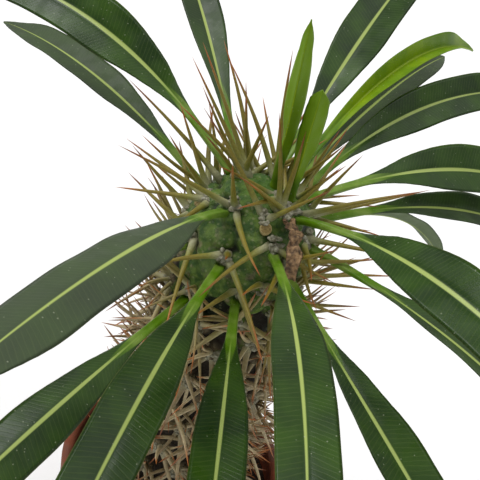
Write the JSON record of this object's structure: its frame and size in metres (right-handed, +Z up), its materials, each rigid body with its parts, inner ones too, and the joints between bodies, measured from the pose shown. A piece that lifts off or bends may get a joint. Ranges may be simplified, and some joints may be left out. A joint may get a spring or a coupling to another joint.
{
  "type": "potted madagascar palm",
  "caption": "Young Madagascar palm: a thick spiny trunk topped by a whorl of long leaves, growing in a plain terracotta pot of soil.",
  "frame": {"origin": "centre of the pot's flat foot, on the surface that it stands on", "axes": "+Z up along the pot's axis; +X is the side towards which the trunk leans a little; -Y is the side that the picture is taken from"},
  "size_m": [0.367, 0.4291, 0.4018],
  "materials": {
    "terracotta": "unglazed fired clay, matt",
    "soil": "dark gritty potting soil",
    "bark": "grey-green knobbly bark with straw-coloured spines",
    "leaf_green": "leathery leaf with a slight gloss",
    "young_leaf_green": "soft bright green young leaf",
    "withered_brown": "dry papery withered leaf"
  },
  "bodies": {
    "root": {"pot": "terracotta", "soil": "soil", "trunk": "bark", "leaf_01": "leaf_green", "leaf_02": "leaf_green", "leaf_03": "leaf_green", "leaf_04": "leaf_green", "leaf_05": "leaf_green", "leaf_06": "leaf_green", "leaf_07": "leaf_green", "leaf_08": "leaf_green", "leaf_09": "leaf_green", "leaf_10": "leaf_green", "leaf_11": "leaf_green", "leaf_12": "leaf_green", "leaf_13": "leaf_green", "leaf_14": "leaf_green", "leaf_15": "leaf_green", "leaf_16": "leaf_green", "leaf_17": "leaf_green", "leaf_18": "leaf_green", "leaf_19": "leaf_green", "young_leaf_1": "young_leaf_green", "young_leaf_2": "young_leaf_green", "withered_leaf": "withered_brown"}
  },
  "joints": []
}
